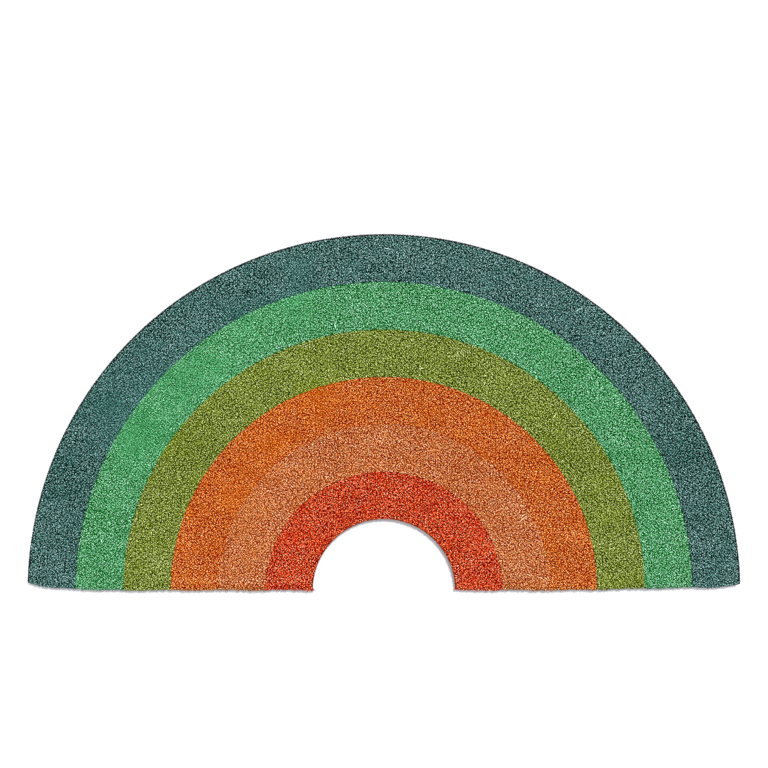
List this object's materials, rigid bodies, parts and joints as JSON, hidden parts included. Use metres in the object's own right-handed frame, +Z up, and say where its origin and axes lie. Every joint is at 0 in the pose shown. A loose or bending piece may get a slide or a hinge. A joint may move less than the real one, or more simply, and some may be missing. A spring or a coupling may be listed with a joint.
{
  "type": "rainbow-shaped doormat",
  "caption": "Half-ring coir doormat cut to a rainbow, its short pile printed in concentric bands from brick red inside to slate teal outside, on a thin flat backing.",
  "frame": {"origin": "middle of the mat's own box, on its underside", "axes": "+Z up out of the pile, +X from the left foot to the right foot, +Y from the feet to the top of the arch"},
  "size_m": [0.762, 0.381, 0.015],
  "materials": {
    "coir_pile": "brushed coir pile, dry and matt, printed in bands",
    "vinyl_backing": "matt fused backing with a fine emboss"
  },
  "bodies": {
    "root": {"coir_mat": "coir_pile"}
  },
  "joints": []
}
